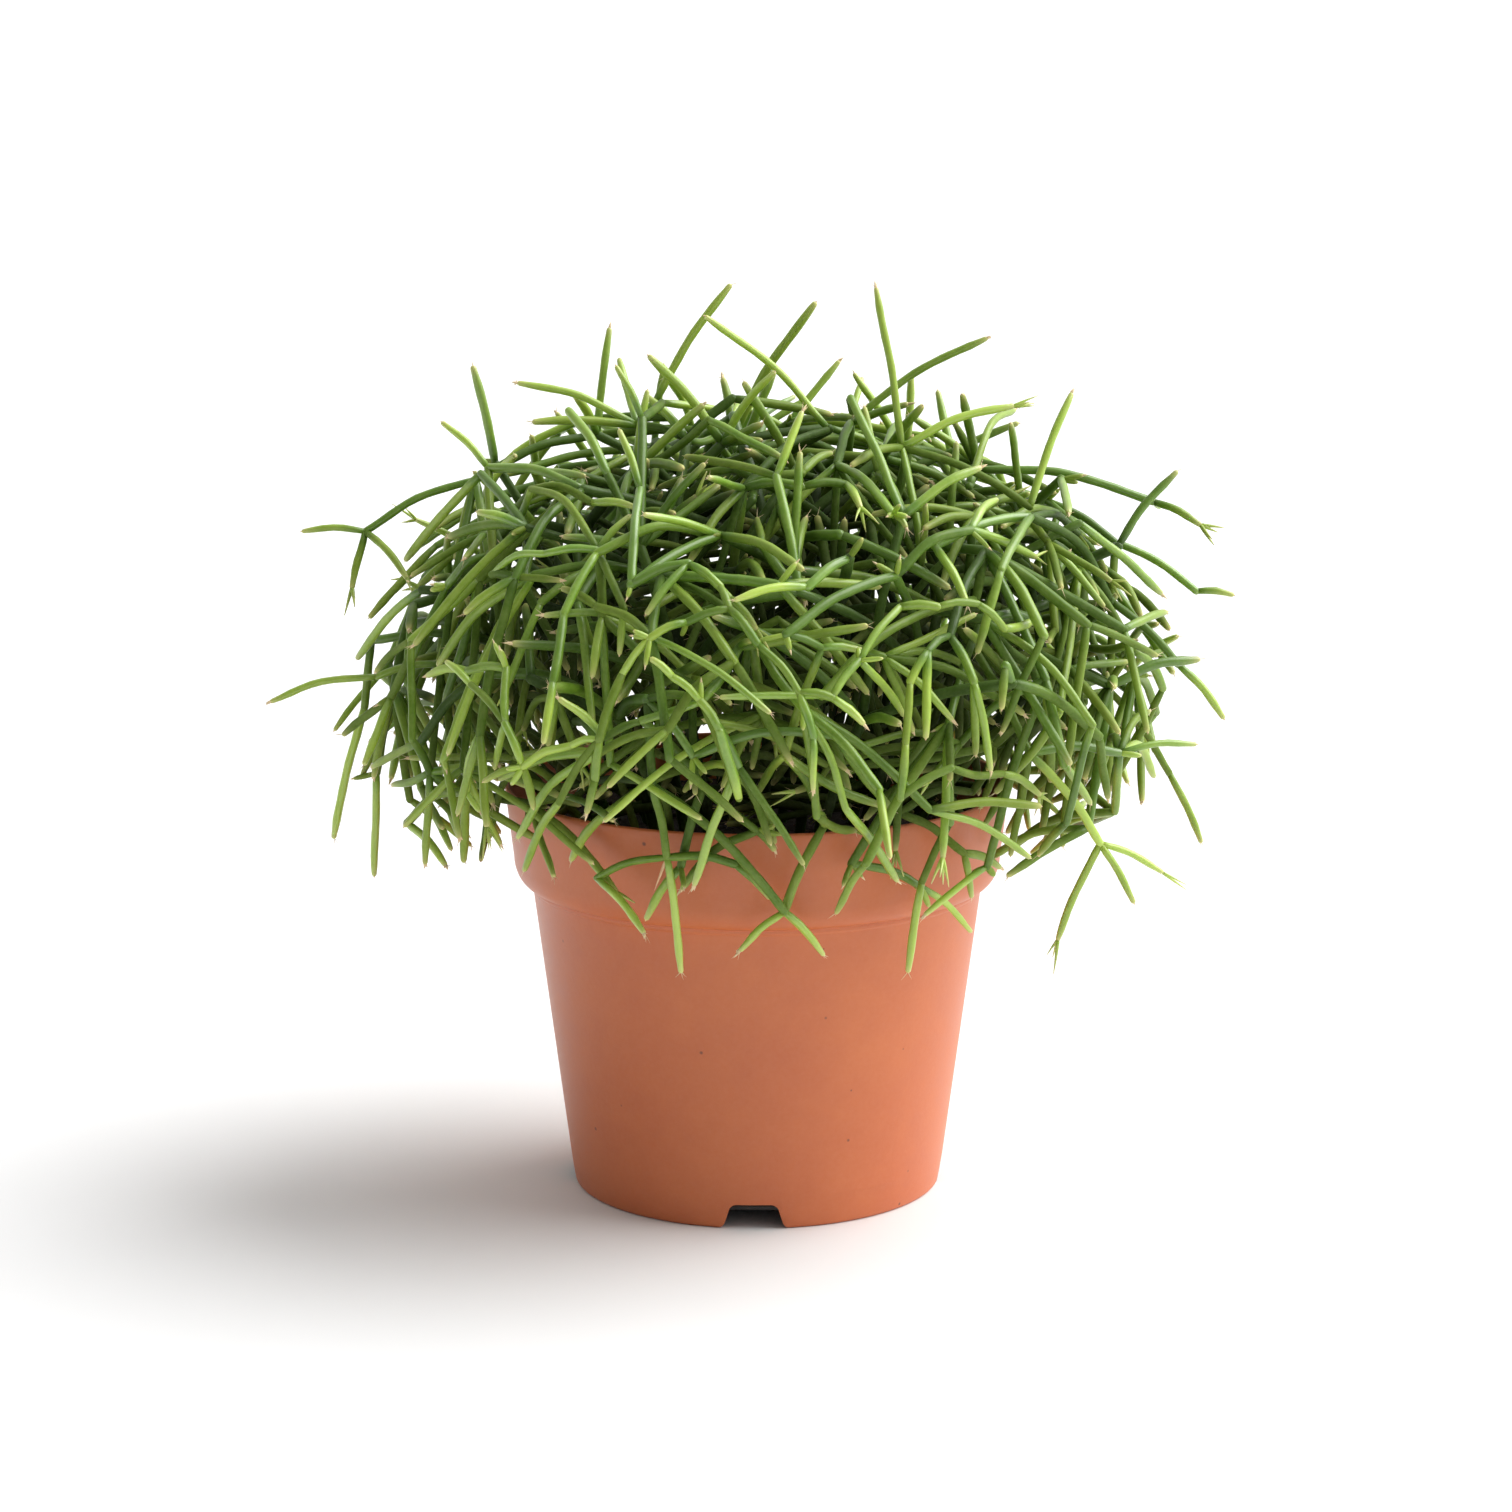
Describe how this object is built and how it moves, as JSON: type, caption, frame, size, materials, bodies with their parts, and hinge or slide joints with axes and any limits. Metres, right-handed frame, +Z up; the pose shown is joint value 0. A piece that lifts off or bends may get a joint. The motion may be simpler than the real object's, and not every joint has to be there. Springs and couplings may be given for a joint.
{
  "type": "potted rice cactus",
  "caption": "Tapered plastic nursery pot with a collar and drain notches, filled with soil and a dense dome of thin, round, leafless branching stems that hang over its rim.",
  "frame": {"origin": "on the pot's axis, on the surface that the pot stands on, under the middle of the plant", "axes": "+Z up along the pot's axis, -Y towards the side that the picture shows, where one drain notch is, +X to the right as seen from there"},
  "size_m": [0.2265, 0.2271, 0.2162],
  "materials": {
    "terracotta_plastic": "satin",
    "peat": "matte",
    "stem_green": "satin"
  },
  "bodies": {
    "root": {"pot": "terracotta_plastic", "soil": "peat", "cutting_01": "stem_green", "cutting_02": "stem_green", "cutting_03": "stem_green", "cutting_04": "stem_green", "cutting_05": "stem_green", "cutting_06": "stem_green", "cutting_07": "stem_green", "cutting_08": "stem_green", "cutting_09": "stem_green", "cutting_10": "stem_green", "cutting_11": "stem_green", "cutting_12": "stem_green", "cutting_13": "stem_green", "cutting_14": "stem_green", "cutting_15": "stem_green", "cutting_16": "stem_green", "cutting_17": "stem_green", "cutting_18": "stem_green", "cutting_19": "stem_green", "cutting_20": "stem_green", "cutting_21": "stem_green", "cutting_22": "stem_green", "cutting_23": "stem_green", "cutting_24": "stem_green"}
  },
  "joints": []
}
